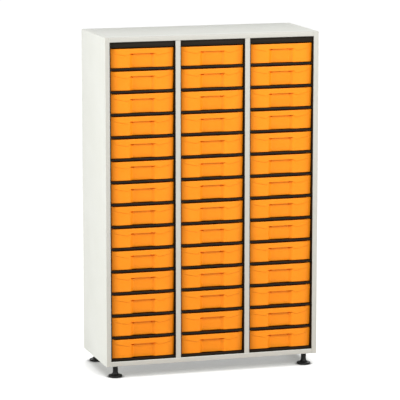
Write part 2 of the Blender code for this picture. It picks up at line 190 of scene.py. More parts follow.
# Runner liner. LINER_ROOT is how far a runner or a rail goes into the wall that carries it.
LINER_WALL = 2.5 * MM
LINER_ROOT = 0.5 * MM
LINER_ROUNDING = 0.6 * MM
LEDGE_REACH = 12 * MM
LEDGE_THICKNESS = 2.5 * MM
LEDGE_CLEARANCE = 0.3 * MM
LIP_REACH = 8 * MM
LIP_THICKNESS = 2 * MM
LIP_CLEARANCE = 0.8 * MM
RUNNER_START = 33 * MM
TOP_RAIL_SETBACK = 6 * MM
TOP_RAIL_ROUNDING = 1.2 * MM
CROSS_RAIL_INSET = 3 * MM
CROSS_RAIL_ROUNDING = 1.0 * MM
RAIL_DEPTH = 8 * MM
RAIL_OVER_RIM = 4.5 * MM
RAIL_UNDER_BASE = 2 * MM

# Levelling foot
STEM_RADIUS = 12.5 * MM
STEM_ARRIS = 0.8 * MM
STEM_SHOULDER = 5 * MM
FLARE_TOP = 26 * MM
FLARE_POINTS = 12
BASE_EDGE = 10 * MM
BASE_EDGE_RADIUS = 4 * MM
BASE_EDGE_POINTS = 8
SOLE_HOLLOW = 0.8 * MM
FOOT_STEPS = 64


# Shader and mesh helpers


def srgb(code):
    """A hex colour as linear values with alpha."""
    channels = [int(code[i:i + 2], 16) / 255 for i in (0, 2, 4)]
    return (*(c / 12.92 if c <= 0.04045 else ((c + 0.055) / 1.055) ** 2.4 for c in channels), 1.0)


def add_node(tree, kind, settings=None, inputs=None):
    """Adds a node, sets its properties, and sets or links its inputs by name or number."""
    node = tree.nodes.new(kind)
    for name, value in (settings or {}).items():
        setattr(node, name, value)
    for name, value in (inputs or {}).items():
        if isinstance(value, bpy.types.NodeSocket):
            tree.links.new(value, node.inputs[name])
        else:
            node.inputs[name].default_value = value
    return node


def new_material(name):
    """A material with an empty tree."""
    material = bpy.data.materials.new(name)
    material.use_nodes = True
    tree = material.node_tree
    tree.nodes.clear()
    return material, tree


def add_piece(name, mesh, materials, body, slot, *nodes):
    """Makes a finished mesh a piece of the object, riding on a body and standing for CAD nodes."""
    piece = bpy.data.objects.new(name, mesh)
    bpy.context.scene.collection.objects.link(piece)
    for material in materials:
        mesh.materials.append(material)
    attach(piece, body)
    if nodes:
        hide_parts(*nodes)


def step(low, high, value):
    """Smooth step from 0 at low to 1 at high."""
    t = np.clip((np.asarray(value, float) - low) / (high - low), 0, 1)
    return t * t * (3 - 2 * t)


def smooth_mesh(mesh, sharp):
    """Smooth shading, apart from edges that turn by more than sharp degrees."""
    mesh.shade_smooth()
    mesh.set_sharp_from_angle(angle=math.radians(sharp))
    return mesh


def finished_mesh(bm, name):
    """The mesh of a bmesh, with its faces outwards."""
    bmesh.ops.recalc_face_normals(bm, faces=bm.faces)
    mesh = bpy.data.meshes.new(name)
    bm.to_mesh(mesh)
    bm.free()
    return mesh


def add_box(bm, low, high):
    """A plain box; its corner points are returned."""
    verts = bmesh.ops.create_cube(bm, size=1.0)["verts"]
    for vert in verts:
        vert.co = [high[i] if vert.co[i] > 0 else low[i] for i in range(3)]
    return verts


def add_block(bm, low, high, radius):
    """A box with rounded edges."""
    edges = {e for v in add_box(bm, low, high) for e in v.link_edges}
    bmesh.ops.bevel(bm, geom=list(edges), offset=radius, segments=2, profile=0.5, affect="EDGES")


def turned_mesh(name, profile, steps):
    """A shape turned about Z from points (radius, z)."""
    bm = bmesh.new()
    verts = [bm.verts.new((r, 0, z)) for r, z in profile]
    edges = [bm.edges.new(pair) for pair in zip(verts, verts[1:])]
    bmesh.ops.spin(bm, geom=verts + edges, axis=(0, 0, 1), cent=(0, 0, 0), steps=steps, angle=2 * math.pi)
    bmesh.ops.remove_doubles(bm, verts=bm.verts, dist=MERGE_GAP)
    return finished_mesh(bm, name)


def evaluated_mesh(holder):
    """The plain mesh that an object's modifier makes; the object goes."""
    bpy.context.scene.collection.objects.link(holder)
    graph = bpy.context.evaluated_depsgraph_get()
    result = bpy.data.meshes.new_from_object(holder.evaluated_get(graph))
    holder.modifiers.clear()
    bpy.data.objects.remove(holder)
    return result


def cut_mesh(mesh, low, high):
    """A mesh with a box taken out of it."""
    bm = bmesh.new()
    add_box(bm, low, high)
    cutter = bpy.data.objects.new("cutter", finished_mesh(bm, "cutter"))
    bpy.context.scene.collection.objects.link(cutter)
    holder = bpy.data.objects.new("holder", mesh)
    cut = holder.modifiers.new("cut", "BOOLEAN")
    cut.object, cut.operation, cut.solver = cutter, "DIFFERENCE", "EXACT"
    result = evaluated_mesh(holder)
    bpy.data.objects.remove(cutter)
    return result


def new_growth(name, sizes):
    """A tree of geometry nodes that takes one shape, sizes by name and kind, and a finish. The identifiers of its
    inputs are returned with it."""
    tree = bpy.data.node_groups.new(name, "GeometryNodeTree")
    face = tree.interface
    face.new_socket("Shape", in_out="INPUT", socket_type="NodeSocketGeometry")
    face.new_socket("Grown", in_out="OUTPUT", socket_type="NodeSocketGeometry")
    sockets = {}
    for size, kind in (*sizes, ("Finish", "Material")):
        sockets[size] = face.new_socket(size, in_out="INPUT", socket_type="NodeSocket" + kind).identifier
    return tree, sockets


def end_growth(tree, copies, finish):
    """Ends a tree: its copies become real faces and get their material."""
    real = add_node(tree, "GeometryNodeRealizeInstances", inputs={"Geometry": copies})
    finished = add_node(tree, "GeometryNodeSetMaterial", inputs={
        "Geometry": real.outputs["Geometry"], "Material": finish})
    add_node(tree, "NodeGroupOutput", inputs={0: finished.outputs["Geometry"]})


def grown_mesh(mesh, tree, sockets, values):
    """The mesh that a tree of geometry nodes makes from the given one, with its inputs by name. Its material slots are
    cleared, as the copies bring an empty one and the finished piece gets its material anyway."""
    holder = bpy.data.objects.new("holder", mesh)
    modifier = holder.modifiers.new("grow", "NODES")
    modifier.node_group = tree
    for name, value in values.items():
        modifier[sockets[name]] = value
    result = evaluated_mesh(holder)
    result.materials.clear()
    return result


# Materials


def melamine_material():
    """White melamine facing: resin-soaked paper pressed against an embossed plate. The eye gets an even, slightly warm
    white with a low sheen, a fine pearl grain and very faint clouds."""
    material, tree = new_material("white_melamine_facing")
    place = add_node(tree, "ShaderNodeTexCoord").outputs["Object"]
    pearl = add_node(tree, "ShaderNodeTexNoise", inputs={"Vector": place, "Scale": 1 / PEARL_GRAIN, "Detail": 2})
    cloud = add_node(tree, "ShaderNodeTexNoise", inputs={"Vector": place, "Scale": 1 / FACING_CLOUD, "Detail": 3})
    tone = add_node(tree, "ShaderNodeValToRGB", inputs={"Fac": cloud.outputs["Fac"]})
    for stop, position, code in zip(tone.color_ramp.elements, NOISE_SPAN, ("EEEFE7", "F2F3EC")):
        stop.position, stop.color = position, srgb(code)
    sheen = add_node(tree, "ShaderNodeMapRange", inputs={
        "Value": pearl.outputs["Fac"], "To Min": 0.48, "To Max": 0.62})
    bump = add_node(tree, "ShaderNodeBump", inputs={
        "Height": pearl.outputs["Fac"], "Strength": 0.2, "Distance": GRAIN_HEIGHT})
    shader = add_node(tree, "ShaderNodeBsdfPrincipled", inputs={
        "Base Color": tone.outputs["Color"], "Roughness": sheen.outputs["Result"],
        "Normal": bump.outputs["Normal"], "Specular IOR Level": 0.3})
    add_node(tree, "ShaderNodeOutputMaterial", inputs={"Surface": shader.outputs["BSDF"]})
    return material


def edging_material(name, run):
    """White ABS edging, extruded: a shade greyer and creamier than the facing and a little glossier, with faint lines
    along its run, which is an axis."""
    material, tree = new_material(name)
    place = add_node(tree, "ShaderNodeTexCoord").outputs["Object"]
    drawn = add_node(tree, "ShaderNodeMapping", inputs={
        "Vector": place, "Scale": [1 / (EDGING_LINE_RUN if axis == run else EDGING_LINE) for axis in "XYZ"]})
    lines = add_node(tree, "ShaderNodeTexNoise", inputs={"Vector": drawn.outputs["Vector"], "Scale": 1, "Detail": 2})
    tone = add_node(tree, "ShaderNodeValToRGB", inputs={"Fac": lines.outputs["Fac"]})
    for stop, position, code in zip(tone.color_ramp.elements, NOISE_SPAN, ("C1BFB7", "C4C3BB")):
        stop.position, stop.color = position, srgb(code)
    sheen = add_node(tree, "ShaderNodeMapRange", inputs={
        "Value": lines.outputs["Fac"], "To Min": 0.36, "To Max": 0.48})
    shader = add_node(tree, "ShaderNodeBsdfPrincipled", inputs={
        "Base Color": tone.outputs["Color"], "Roughness": sheen.outputs["Result"], "Specular IOR Level": 0.4})
    add_node(tree, "ShaderNodeOutputMaterial", inputs={"Surface": shader.outputs["BSDF"]})
    return material


def tray_material():
    """Orange polypropylene, injection moulded in a spark-eroded mould: a saturated colour with a grained satin skin,
    faint clouds where the melt has flowed, and painted shade that deepens the tone towards the ends of the front."""
    material, tree = new_material("orange_polypropylene")
    place = add_node(tree, "ShaderNodeTexCoord").outputs["Object"]
    grain = add_node(tree, "ShaderNodeTexNoise", inputs={"Vector": place, "Scale": 1 / TRAY_GRAIN, "Detail": 2})
    flow = add_node(tree, "ShaderNodeTexNoise", inputs={
        "Vector": place, "Scale": 1 / TRAY_FLOW, "Detail": 3, "Distortion": 0.6})
    tone = add_node(tree, "ShaderNodeValToRGB", inputs={"Fac": flow.outputs["Fac"]})
    for stop, position, code in zip(tone.color_ramp.elements, NOISE_SPAN, ("FC9010", "FF9514")):
        stop.position, stop.color = position, srgb(code)
    # Painted shade: the tone is multiplied darker towards the ends of the front.
    far = add_node(tree, "ShaderNodeAttribute", {"attribute_name": "painted_end_shade"})
    deeper = add_node(tree, "ShaderNodeMix", {"data_type": "RGBA", "blend_type": "MULTIPLY"}, {
        0: far.outputs["Fac"], 6: tone.outputs["Color"], 7: srgb("E9E4DF")})
    sheen = add_node(tree, "ShaderNodeMapRange", inputs={
        "Value": grain.outputs["Fac"], "To Min": 0.34, "To Max": 0.5})
    bump = add_node(tree, "ShaderNodeBump", inputs={
        "Height": grain.outputs["Fac"], "Strength": 0.25, "Distance": GRAIN_HEIGHT})
    shader = add_node(tree, "ShaderNodeBsdfPrincipled", inputs={
        "Base Color": deeper.outputs[2], "Roughness": sheen.outputs["Result"],
        "Normal": bump.outputs["Normal"], "Specular IOR Level": 0.25})
    add_node(tree, "ShaderNodeOutputMaterial", inputs={"Surface": shader.outputs["BSDF"]})
    return material


def black_plastic_material(name, dark, light, roughness, gloss):
    """Black ABS or nylon, injection moulded: near black and satin, with a mould grain that breaks up its highlights."""
    material, tree = new_material(name)
    place = add_node(tree, "ShaderNodeTexCoord").outputs["Object"]
    grain = add_node(tree, "ShaderNodeTexNoise", inputs={"Vector": place, "Scale": 1 / BLACK_GRAIN, "Detail": 3})
    tone = add_node(tree, "ShaderNodeValToRGB", inputs={"Fac": grain.outputs["Fac"]})
    for stop, position, code in zip(tone.color_ramp.elements, NOISE_SPAN, (dark, light)):
        stop.position, stop.color = position, srgb(code)
    sheen = add_node(tree, "ShaderNodeMapRange", inputs={
        "Value": grain.outputs["Fac"], "To Min": roughness - 0.08, "To Max": roughness + 0.08})
    bump = add_node(tree, "ShaderNodeBump", inputs={
        "Height": grain.outputs["Fac"], "Strength": 0.25, "Distance": GRAIN_HEIGHT})
    shader = add_node(tree, "ShaderNodeBsdfPrincipled", inputs={
        "Base Color": tone.outputs["Color"], "Roughness": sheen.outputs["Result"],
        "Normal": bump.outputs["Normal"], "Specular IOR Level": gloss})
    add_node(tree, "ShaderNodeOutputMaterial", inputs={"Surface": shader.outputs["BSDF"]})
    return material


def zinc_material():
    """Bright zinc, plated on steel: a clean grey metal with faint clouds."""
    material, tree = new_material("bright_zinc_plate")
    place = add_node(tree, "ShaderNodeTexCoord").outputs["Object"]
    cloud = add_node(tree, "ShaderNodeTexNoise", inputs={"Vector": place, "Scale": 1 / ZINC_CLOUD, "Detail": 3})
    tone = add_node(tree, "ShaderNodeValToRGB", inputs={"Fac": cloud.outputs["Fac"]})
    for stop, code in zip(tone.color_ramp.elements, ("A4A7AC", "C3C6CA")):
        stop.color = srgb(code)
    sheen = add_node(tree, "ShaderNodeMapRange", inputs={
        "Value": cloud.outputs["Fac"], "To Min": 0.25, "To Max": 0.42})
    shader = add_node(tree, "ShaderNodeBsdfPrincipled", inputs={
        "Base Color": tone.outputs["Color"], "Roughness": sheen.outputs["Result"], "Metallic": 1.0})
    add_node(tree, "ShaderNodeOutputMaterial", inputs={"Surface": shader.outputs["BSDF"]})
    return material


# Boards


def board_box(node):
    """The box of a board without its dowels, which lie hidden in the next board. The liner covers a strip of the left,
    top and bottom boards inside."""
    low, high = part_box(node)
    if node == "left_side_panel":
        high.x -= BOARD_SLIMMING
    if node in ("top_panel", "bottom_panel"):
        low.x = board_box("left_side_panel")[1].x + BOARD_GAP
        high.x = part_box("right_side_panel")[0].x - BOARD_GAP
        if node == "top_panel":
            low.z += BOARD_SLIMMING
        else:
            high.z -= BOARD_SLIMMING
    if node in ("left_divider", "right_divider"):
        low.z = board_box("bottom_panel")[1].z + BOARD_GAP
        high.z = board_box("top_panel")[0].z - BOARD_GAP
    return low, high


def rounded_board(name, low, high):
    """A board with its long edges rounded."""
    bm = bmesh.new()
    add_box(bm, low, high)
    spans = high - low
    run = 0 if spans.x > spans.z else 2
    long_edges = [e for e in bm.edges if e.verts[0].co[run] != e.verts[1].co[run]]
    front = [e for e in long_edges if e.verts[0].co.y == low.y]
    rear = [e for e in long_edges if e not in front]
    bmesh.ops.bevel(bm, geom=front, offset=EDGE_RADIUS, segments=EDGE_STEPS, profile=0.5, affect="EDGES")
    bmesh.ops.bevel(bm, geom=rear, offset=ARRIS_RADIUS, segments=ARRIS_STEPS, profile=0.5, affect="EDGES")
    return finished_mesh(bm, name)


def edged_board(node):
    """A board of the carcass, with its edging on the front and its share of the rebate for the back panel."""
    low, high = board_box(node)
    mesh = rounded_board(node, low, high)
    back_low, back_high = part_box("back_panel")
    if high.y > back_low.y:
        gap = Vector((REBATE_GAP, REBATE_GAP, REBATE_GAP))
        mesh = cut_mesh(mesh, back_low - gap, back_high + gap)
    # Painted highlight: the roundings of these boards take the lighter facing colour.
    edging_depth = EDGING_SHOWN if node in PAINTED_HIGHLIGHT_ROUNDINGS else EDGE_RADIUS
    for face in mesh.polygons:
        face.material_index = int(face.center.y < low.y + edging_depth)
    return mesh


def add_boards(facing, upright_edging, level_edging):
    """The boards of the carcass, and the back panel, which is faced all over."""
    for node in ("left_side_panel", "right_side_panel", "top_panel", "bottom_panel", "left_divider", "right_divider"):
        mesh = smooth_mesh(edged_board(node), BOXED_SHARP)
        edging = level_edging if node in ("top_panel", "bottom_panel") else upright_edging
        add_piece(node + "_board", mesh, (facing, edging), "carcass", "white_board", node)
    mesh = smooth_mesh(rounded_board("back_panel", *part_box("back_panel")), BOXED_SHARP)
    add_piece("back_panel_board", mesh, (facing,), "carcass", "back_board", "back_panel")


# Screws of the back panel


def screw_mesh(radius, height):
    """A pan head with a round-bottomed socket, standing on +Z."""
    profile = [(0, 0), (radius, 0), (radius, 0.35 * height), (0.9 * radius, 0.75 * height), (0.6 * radius, height),
               (0.38 * radius, height), (0.32 * radius, 0.4 * height), (0, 0.3 * height)]
    return turned_mesh("screw_head", profile, SCREW_STEPS)


def screw_spacer():
    """Geometry nodes that set screws round a rectangle and down two lines inside it, on the XZ plane."""
    tree, sockets = new_growth("back_screws", (
        ("Width", "Float"), ("Height", "Float"), ("Spacing", "Float"), ("Divider Offset", "Float")))
    given = add_node(tree, "NodeGroupInput").outputs
    border = add_node(tree, "GeometryNodeCurvePrimitiveQuadrilateral", inputs={
        "Width": given["Width"], "Height": given["Height"]})
    upright = add_node(tree, "GeometryNodeCurvePrimitiveQuadrilateral", inputs={
        "Width": given["Divider Offset"], "Height": given["Height"]})
    spaced = []
    for curve in (border, upright):
        evened = add_node(tree, "GeometryNodeResampleCurve", {"mode": "LENGTH"}, {
            "Curve": curve.outputs["Curve"], "Length": given["Spacing"]})
        spaced.append(add_node(tree, "GeometryNodeCurveToPoints", {"mode": "EVALUATED"}, {
            "Curve": evened.outputs["Curve"]}).outputs["Points"])
    # The inner rectangle's own top and bottom rows go, as the border has screws there.
    place = add_node(tree, "ShaderNodeSeparateXYZ", inputs={0: add_node(tree, "GeometryNodeInputPosition").outputs[0]})
    away = add_node(tree, "ShaderNodeMath", {"operation": "ABSOLUTE"}, {0: place.outputs["Y"]})
    limit = add_node(tree, "ShaderNodeMath", {"operation": "MULTIPLY"}, {0: given["Height"], 1: SCREW_END})
    at_end = add_node(tree, "FunctionNodeCompare", {"data_type": "FLOAT", "operation": "GREATER_THAN"}, {
        0: away.outputs[0], 1: limit.outputs[0]})
    inner = add_node(tree, "GeometryNodeDeleteGeometry", {"domain": "POINT"}, {
        "Geometry": spaced[1], "Selection": at_end.outputs[0]})
    points = add_node(tree, "GeometryNodeJoinGeometry")
    tree.links.new(spaced[0], points.inputs[0])
    tree.links.new(inner.outputs[0], points.inputs[0])
    copies = add_node(tree, "GeometryNodeInstanceOnPoints", inputs={
        "Points": points.outputs[0], "Instance": given["Shape"]})
    turned = add_node(tree, "GeometryNodeTransform", inputs={
        "Geometry": copies.outputs["Instances"], "Rotation": (-math.pi / 2, 0, 0)})
    end_growth(tree, turned.outputs["Geometry"], given["Finish"])
    return tree, sockets


def add_back_screws(material):
    """Pan-head screws that hold the back panel to the boards and the dividers."""
    low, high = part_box("back_panel")
    centre = (low + high) / 2
    left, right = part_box("left_divider"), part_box("right_divider")
    mesh = grown_mesh(screw_mesh(SCREW_RADIUS, SCREW_HEIGHT), *screw_spacer(), {
        "Width": high.x - low.x - 2 * SCREW_INSET, "Height": high.z - low.z - 2 * SCREW_INSET,
        "Spacing": SCREW_SPACING, "Finish": material,
        "Divider Offset": (right[0].x + right[1].x - left[0].x - left[1].x) / 2})
    mesh.transform(Matrix.Translation((centre.x, high.y, centre.z)))
    add_piece("back_panel_screws", smooth_mesh(mesh, TURNED_SHARP), (material,), "carcass", "zinc_stud")


# Trays


def rounding(height, radius):
    """How far a rounded edge stands back at a height from its end."""
    left = np.clip(radius - height, 0, radius)
    return radius - math.sqrt(radius ** 2 - left ** 2)


def front_levels():
    """Heights of the rings round the outside of the tray, close together where the front has its details."""
    base = (0, 0.4, 1.2, 2.4, 4)
    face, brow = np.linspace(-80, -41, 5), np.arange(-38.8, -26, 0.8)
    roof, band = np.arange(-25.6, -23, 0.3), np.linspace(-22, -4, 6)
    return [*(mm * MM - TRAY_HEIGHT for mm in base), *(mm * MM for part in (face, brow, roof, band) for mm in part)]


def front_stations():
    """Places along half of the tray's front, close together at the end of the recess."""
    middle, recess_end, side = np.arange(0, 37, 12), np.arange(39, 75, 1.4), np.arange(76, 107, 5)
    return np.concatenate((middle, recess_end, side)) * MM


def front_sweep(inset):
    """The end of the front seen from above, on a skin that lies inset behind the outer one: a wide sweep that closes
    in a small corner. Distances across and inward are returned."""
    start = math.degrees(math.atan(2 * FRONT_BOW / FRONT_HALF))
    sweep = np.linspace(start, FRONT_SWEEP_TURN, SWEEP_POINTS)
    corner = np.linspace(FRONT_SWEEP_TURN + FRONT_SWEEP_BLEND, 90, SWEEP_POINTS)
    turns = np.concatenate((sweep, corner))
    middle = (turns[1:] + turns[:-1]) / 2
    closing = step(FRONT_SWEEP_TURN - FRONT_SWEEP_BLEND, FRONT_SWEEP_TURN + 2 * FRONT_SWEEP_BLEND, middle)
    lengths = (FRONT_SWEEP + (FRONT_CORNER - FRONT_SWEEP) * closing - inset) * np.radians(np.diff(turns))
    return np.cumsum(lengths * np.cos(np.radians(middle))), np.cumsum(lengths * np.sin(np.radians(middle)))


def brow_height(x):
    """Lower edge of the pull band: level over the recess, then it dips and sweeps up towards the ends."""
    start, end = BROW_RISE_SPAN
    return RECESS_TOP - BROW_DIP * step(*BROW_DIP_SPAN, x) + BROW_RISE_SLOPE * (np.clip(x, start, end) - start)


def under_band(x, z, inner):
    """How far the front stands back under the pull band: a small step, the label recess with its sloping ends, and a
    slot at each end of the recess that a label card hooks into."""
    share = -z / TRAY_HEIGHT
    wall = TRAY_WALL if inner else 0.0
    edge = np.maximum(brow_height(x), RECESS_TOP) if inner else brow_height(x)
    brow = BROW_STEP * step(*BROW_FADE_SPAN, x)
    deep = RECESS_DEPTH + RECESS_LEAN * share + RECESS_BOW * (x / RECESS_FOOT) ** 2 - brow
    ends = step(RECESS_LIP + wall, RECESS_FOOT + wall, x)
    first, last, foot = SLOT_SPAN[0] - wall, SLOT_SPAN[1] + wall, SLOT_FOOT - wall
    slot = step(first - SLOT_EDGE, first + SLOT_EDGE, x) * step(last + SLOT_EDGE, last - SLOT_EDGE, x)
    slot = slot * step(foot - SLOT_EDGE, foot + SLOT_EDGE, z)
    under = step(edge + wall + BROW_EDGE, edge + wall - BROW_EDGE, z)
    return (brow + deep * ends + SLOT_DEPTH * slot) * under


def front_points(z, half, inset, inner):
    """The front's part of half a ring, from its middle to its end, where it is half wide."""
    share = -z / TRAY_HEIGHT
    wall = TRAY_WALL if inner else 0.0
    across, inward = front_sweep(wall + inset)
    start = half - across[-1]
    stations = front_stations()
    stations = np.append(stations, np.linspace(stations[-1], start, 3)[1:])
    bow = FRONT_BOW * (stations / FRONT_HALF) ** 2
    plan = np.append(stations, start + across)
    fronts = np.append(bow, bow[-1] + inward) + TRAY_LEAN * share + wall + inset
    return list(zip(plan, fronts + under_band(plan, z, inner)))


def return_points(front_half, body_half, back):
    """Round the rear edge of the front's end and in to the side of the body."""
    turn, near = RETURN_RADIUS, RETURN_NEAR
    return [
        (front_half, back - turn), (front_half - near, back - near), (front_half - turn, back),
        (body_half + turn, back), (body_half + near, back + near), (body_half, back + turn)]


def nose_points(front_half, flange, nose):
    """Out from the front's end along the nose of the flange and round its corner."""
    turn, near = FLANGE_CORNER, FLANGE_CORNER_NEAR
    return [
        (front_half, nose - FLANGE_NOSE), (front_half, nose), (front_half + 0.3 * (flange - front_half), nose),
        (flange - turn, nose), (flange - near, nose + near), (flange, nose + turn)]


def rear_points(first, side, end, corner):
    """Along the side from the depth first, round the rear corner and along the rear to its middle."""
    points = [(side, first + (end - corner - first) * i / 4) for i in range(1, 5)]
    for i in range(1, 7):
        angle = math.pi / 2 * i / 6
        points.append((side - corner * (1 - math.cos(angle)), end - corner * (1 - math.sin(angle))))
    return points + [((side - corner) * (1 - i / 4), end) for i in range(1, 5)]


def tray_half(z, front_inset=0.0, body_inset=0.0, inner=False, flange=None):
    """Right-hand half of one ring round the tray, from the middle of the front to the middle of the rear. flange is
    the half-width of the flange where the ring runs round it."""
    share = -z / TRAY_HEIGHT
    wall = TRAY_WALL if inner else 0.0
    front_half = FRONT_HALF - share * FRONT_TAPER - wall - front_inset
    back = FRONT_RETURN - wall
    points = front_points(z, front_half, front_inset, inner)
    if flange is None:
        side = BODY_HALF - share * BODY_TAPER - wall - body_inset
        end = TRAY_DEPTH - REAR_FLANGE - share * BODY_TAPER - wall - body_inset
        corner = REAR_RADIUS - wall - body_inset
        points += return_points(front_half, side, back)
    else:
        side, end, corner = flange, TRAY_DEPTH - body_inset, REAR_RADIUS
        points += nose_points(front_half, flange, back + body_inset)
    return points + rear_points(points[-1][1], side, end, corner)


def tray_rings():
    """All rings of the tray, from under its base, up the outside, over the rim and down to the floor inside. The
    numbers in them are millimetres."""
    rings = []
    for z in front_levels():
        height = TRAY_HEIGHT + z
        insets = rounding(height, FRONT_BASE_RADIUS), rounding(height, BODY_BASE_RADIUS)
        rings.append((tray_half(z, *insets), z))
    # The flange, with how far its softened edge stands in
    for z, edge in ((-4, 0.5), (-3.5, 0), (-2, 0), (-1.2, 0), (-0.5, 0.15), (0, 0.6)):
        z, edge = z * MM, edge * MM
        rings.append((tray_half(z, rounding(-z, RIM_RADIUS), edge, flange=FLANGE_HALF - edge), z))
    # The inside, with rings close together at the top of the recess
    rings.append((tray_half(0, -INNER_RIM, -INNER_RIM, inner=True), 0))
    for z in (-0.6, -5, -13, -20, -21.2, -21.8, -22.4, -23.2, -25, -30, -45, -62, -78):
        rings.append((tray_half(z * MM, inner=True), z * MM))
    for height in (5.5, 3, 1.3, 0.3, 0):
        z = TRAY_WALL - TRAY_HEIGHT + height * MM
        fillet = rounding(height * MM, FLOOR_FILLET)
        rings.append((tray_half(z, FRONT_FILLET_SHARE * fillet, fillet, inner=True), z))
    return rings


def tray_mesh():
    """The whole moulding as one closed skin, with how much painted shade each point takes towards the ends of the
    front.
    """
    bm = bmesh.new()
    loops = []
    for half, z in tray_rings():
        ring = half + [(-x, y) for x, y in reversed(half[1:-1])]
        loops.append([bm.verts.new((x, y, z)) for x, y in ring])
    for lower, upper in zip(loops, loops[1:]):
        for i in range(len(lower)):
            j = (i + 1) % len(lower)
            bm.faces.new((lower[i], lower[j], upper[j], upper[i]))
    ends = [bm.faces.new(loops[0][::-1]), bm.faces.new(loops[-1])]
    bmesh.ops.triangulate(bm, faces=ends, ngon_method="BEAUTY")
    bmesh.ops.remove_doubles(bm, verts=bm.verts, dist=MERGE_GAP)
    for vert in bm.verts:
        front, face = step(*RIM_DROP_DEPTHS, vert.co.y), step(*BASE_RISE_DEPTHS, vert.co.y)
        vert.co.z -= front * FRONT_RIM_DROP * step(*RIM_DROP_HEIGHTS, vert.co.z)
        vert.co.z += face * FRONT_BASE_RISE * step(*BASE_RISE_HEIGHTS, vert.co.z)
    mesh = finished_mesh(bm, "tray")
    reach = np.array([abs(v.co.x) * (v.co.y < FRONT_RETURN) for v in mesh.vertices])
    mesh.attributes.new("painted_end_shade", "FLOAT", "POINT").data.foreach_set("value", step(*PAINTED_END_SHADE_SPAN, reach))
    return smooth_mesh(mesh, BOXED_SHARP)


def add_trays(material):
    """The same moulding in every row of every bay, each on its own drawer body."""
    pattern = tray_mesh()
    for bay in BAYS:
        for row in range(ROWS):
            node = f"tray_{bay}_{row + 1:02d}"
            low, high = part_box(node)
            mesh = pattern.copy()
            mesh.transform(Matrix.Translation(((low.x + high.x) / 2, low.y, high.z)))
            add_piece(node + "_moulding", mesh, (material,), node + "_drawer", "orange_tray", node)


# Runner liners


def row_repeater():
    """Geometry nodes that repeat one row's runners and rail down the liner."""
    tree, sockets = new_growth("runner_rows", (("Rows", "Int"), ("Pitch", "Float")))
    given = add_node(tree, "NodeGroupInput").outputs
    drop = add_node(tree, "ShaderNodeMath", {"operation": "MULTIPLY"}, {0: given["Pitch"], 1: -1.0})
    offset = add_node(tree, "ShaderNodeCombineXYZ", inputs={"Z": drop.outputs[0]})
    line = add_node(tree, "GeometryNodeMeshLine", inputs={"Count": given["Rows"], "Offset": offset.outputs[0]})
    copies = add_node(tree, "GeometryNodeInstanceOnPoints", inputs={
        "Points": line.outputs["Mesh"], "Instance": given["Shape"]})
    end_growth(tree, copies.outputs["Instances"], given["Finish"])
    return tree, sockets


def row_mesh(left, right, rear, pitch):
    """The top row between a liner's walls: a ledge and a lip on each side for the tray's flange, and the rail under
    the tray."""
    bm = bmesh.new()
    rim = tray_high.z
    start = tray_low.y + RUNNER_START
    ledge = rim - FLANGE_THICKNESS - LEDGE_CLEARANCE - LEDGE_THICKNESS
    lip = rim + LIP_CLEARANCE
    for wall, out in ((left, 1), (right, -1)):
        for base, thick, reach in ((ledge, LEDGE_THICKNESS, LEDGE_REACH), (lip, LIP_THICKNESS, LIP_REACH)):
            near, far = sorted((wall - out * LINER_ROOT, wall + out * reach))
            add_block(bm, (near, start, base), (far, rear, base + thick), LINER_ROUNDING)
    front = tray_low.y + CROSS_RAIL_INSET
    base, top = rim - pitch + RAIL_OVER_RIM, rim - TRAY_HEIGHT - RAIL_UNDER_BASE
    add_block(bm, (left - LINER_ROOT, front, base), (right + LINER_ROOT, front + RAIL_DEPTH, top), CROSS_RAIL_ROUNDING)
    return finished_mesh(bm, "one_row")


def add_sleeve(bm, low, high, left, right, floor, roof):
    """A liner's two sides, floor and roof, and the deeper rail over the top tray."""
    for near, far in ((low.x, left), (right, high.x)):
        add_block(bm, (near, low.y, low.z), (far, high.y, high.z), LINER_ROUNDING)
    for base, top in ((low.z, floor), (roof, high.z)):
        add_block(bm, (left - LINER_ROOT, low.y, base), (right + LINER_ROOT, high.y, top), LINER_ROUNDING)
    front = low.y + TOP_RAIL_SETBACK
    add_block(bm, (left - LINER_ROOT, front, tray_high.z + RAIL_OVER_RIM),
              (right + LINER_ROOT, front + RAIL_DEPTH, high.z - LINER_ROOT), TOP_RAIL_ROUNDING)


def add_liners(material):
    """A liner in each bay, thicker where it covers a strip of the boards."""
    tree, sockets = row_repeater()
    pitch = tray_high.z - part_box("tray_left_02")[1].z
    for bay in BAYS:
        node = bay + "_runner_liner"
        low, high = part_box(node)
        left, right = low.x + LINER_WALL, high.x - LINER_WALL
        floor, roof = low.z + LINER_WALL, high.z - LINER_WALL
        low.z, high.z = low.z - BOARD_SLIMMING, high.z + BOARD_SLIMMING
        if bay == "left":
            low.x -= BOARD_SLIMMING
        rows = grown_mesh(row_mesh(left, right, high.y, pitch), tree, sockets, {
            "Rows": ROWS, "Pitch": pitch, "Finish": material})
        bm = bmesh.new()
        bm.from_mesh(rows)
        # The last rail ends in the liner's floor.
        for vert in bm.verts:
            vert.co.z = max(vert.co.z, floor - LINER_WALL / 2)
        add_sleeve(bm, low, high, left, right, floor, roof)
        mesh = smooth_mesh(finished_mesh(bm, node), BOXED_SHARP)
        add_piece(node + "_moulding", mesh, (material,), "carcass", "black_liner", node)


# Levelling feet


